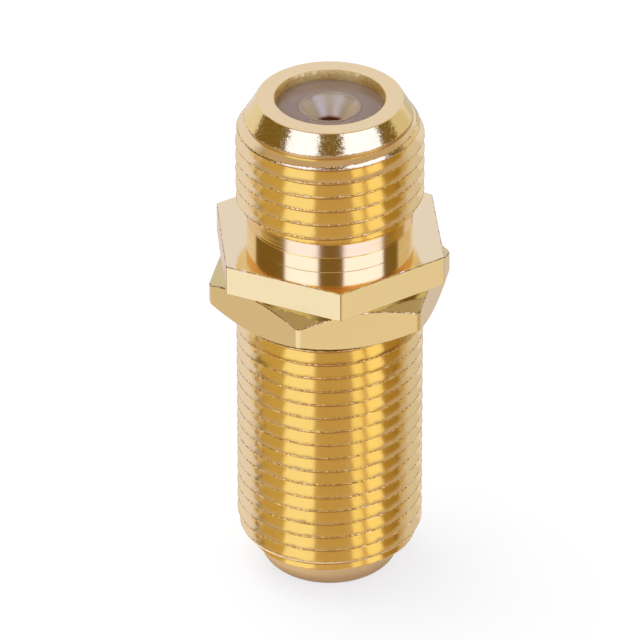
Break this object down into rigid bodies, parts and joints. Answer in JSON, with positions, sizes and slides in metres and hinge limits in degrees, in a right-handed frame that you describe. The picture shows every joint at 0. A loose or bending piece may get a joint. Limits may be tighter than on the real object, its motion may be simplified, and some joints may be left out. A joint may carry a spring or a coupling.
{
  "type": "coaxial bulkhead coupler",
  "caption": "Threaded coaxial coupler with a hexagonal flange, a panel nut on its long end and a spring contact behind a funnel at each end.",
  "frame": {"origin": "on the axis, at the bottom of the rolled edge that the coupler stands on", "axes": "+Z along the barrel's axis towards the short threaded end with the tapered lead-in, -Y towards the viewer"},
  "size_m": [0.0122, 0.0126, 0.0271],
  "materials": {
    "plated_brass": "bright gold plating over turned brass",
    "plated_brass_nut": "satin gold plating over milled brass",
    "clear_plastic": "moulded, unfilled and slightly milky",
    "phosphor_bronze": "rolled spring strip, bare"
  },
  "bodies": {
    "coupler": {"barrel": "plated_brass", "front_insulator": "clear_plastic", "rear_insulator": "clear_plastic", "centre_contact": "phosphor_bronze"},
    "nut": {"hex_nut": "plated_brass_nut"}
  },
  "joints": [
    {"name": "nut_travel", "type": "slide", "parent": "coupler", "child": "nut", "axis": [0, 0, -1], "range_m": [0, 0.01191]}
  ]
}
